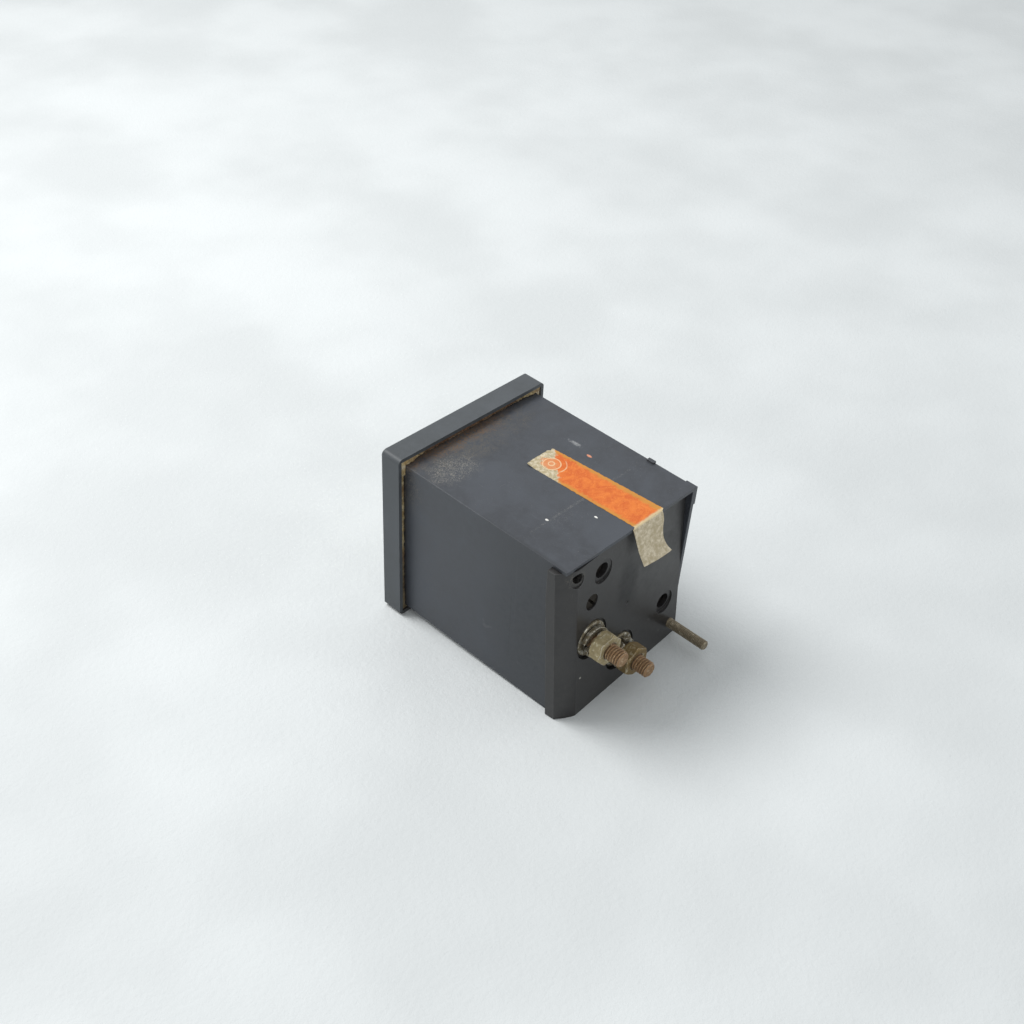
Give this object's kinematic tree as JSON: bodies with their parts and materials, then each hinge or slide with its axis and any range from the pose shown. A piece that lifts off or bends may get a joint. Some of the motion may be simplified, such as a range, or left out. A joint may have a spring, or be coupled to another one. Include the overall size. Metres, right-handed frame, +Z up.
{
  "type": "analog panel meter",
  "caption": "Square moving-coil panel meter with a quarter-circle scale, plated stud terminals and a zero adjusting screw.",
  "frame": {"origin": "centre of the bezel's rear rim, the plane that seats on the panel", "axes": "+Y runs back through the panel to the terminals, +Z is up on the dial, +X is right as the dial is read"},
  "size_m": [0.048, 0.0683, 0.048],
  "materials": {
    "bezel_plastic": "matt dark grey moulding, grimy",
    "clear_window": "clear",
    "case_paint": "satin dark grey paint",
    "cement": "rough yellowed cement",
    "cover_moulding": "dark moulding, slightly glossy",
    "label_paper": "worn orange paper, beige back",
    "plated_brass": "tarnished nickel plating",
    "plated_steel": "dull plated",
    "dark_steel": "blackened steel",
    "plain_brass": "machined",
    "laminate": "brown laminate",
    "soft_iron": "zinc plated",
    "magnet": "plain",
    "aluminium_sheet": "satin",
    "copper_wire": "enamelled copper",
    "spring_bronze": "bright strip",
    "dial_paint": "white painted sheet",
    "pointer_black": "black painted",
    "bobbin_plastic": "cream moulding",
    "wire_sleeve": "red insulation",
    "screw_plastic": "black moulding"
  },
  "bodies": {
    "case": {"bezel": "bezel_plastic", "window": "clear_window", "case_sleeve": "case_paint", "corner_cement": "cement", "rear_cover": "cover_moulding", "paper_label": "label_paper", "terminal_stud_positive": "plated_brass", "terminal_stud_negative": "plated_brass", "flat_washers": "plated_steel", "spring_washers": "plated_steel", "terminal_nuts": "plated_brass", "lock_nuts": "plain_brass", "solder_lugs": "plain_brass", "mounting_stud": "dark_steel", "deep_screws": "dark_steel", "slotted_screw": "dark_steel", "rear_pillars": "plain_brass", "movement_plate": "laminate", "yoke_pillars": "plain_brass", "yoke_ring": "soft_iron", "core_magnet": "magnet", "core_spacers": "plain_brass", "front_bridge": "aluminium_sheet", "rear_bridge": "aluminium_sheet", "bridge_pillars": "plain_brass", "bridge_screws": "plated_steel", "front_jewel_screw": "plated_steel", "rear_jewel_screw": "plated_steel", "jewel_lock_nut": "plain_brass", "front_hairspring": "spring_bronze", "rear_hairspring": "spring_bronze", "rear_spring_anchor": "plain_brass", "dial_plate": "dial_paint", "dial_pillars": "plain_brass", "dial_screws": "dark_steel", "resistor_bobbin": "bobbin_plastic", "resistor_winding": "copper_wire", "lead_wires": "wire_sleeve"},
    "moving_system": {"coil_former": "aluminium_sheet", "coil_winding": "copper_wire", "front_pivot": "plated_steel", "rear_pivot": "plated_steel", "balance_cross": "plain_brass", "balance_weights": "plain_brass", "pointer": "pointer_black"},
    "zero_screw": {"zero_screw": "screw_plastic"},
    "zero_lever": {"zero_lever": "aluminium_sheet"}
  },
  "joints": [
    {"name": "pointer_swing", "type": "hinge", "parent": "case", "child": "moving_system", "pos_m": [0.0105, 0, -0.0105], "axis": [0, 1, 0], "range_deg": [-2, 92], "stiffness_Nm_per_rad": 0.00002, "deforming": ["front_hairspring", "rear_hairspring"]},
    {"name": "zero_turn", "type": "hinge", "parent": "case", "child": "zero_screw", "pos_m": [0.0141, 0, -0.0141], "axis": [0, 1, 0], "range_deg": [-40, 40]},
    {"name": "zero_lever_turn", "type": "hinge", "parent": "case", "child": "zero_lever", "pos_m": [0.0105, 0, -0.0105], "axis": [0, 1, 0], "range_deg": [-7, 7]}
  ],
  "couplings": [
    {"joint": "zero_lever_turn", "follows": "zero_turn", "ratio": 0.1642}
  ]
}
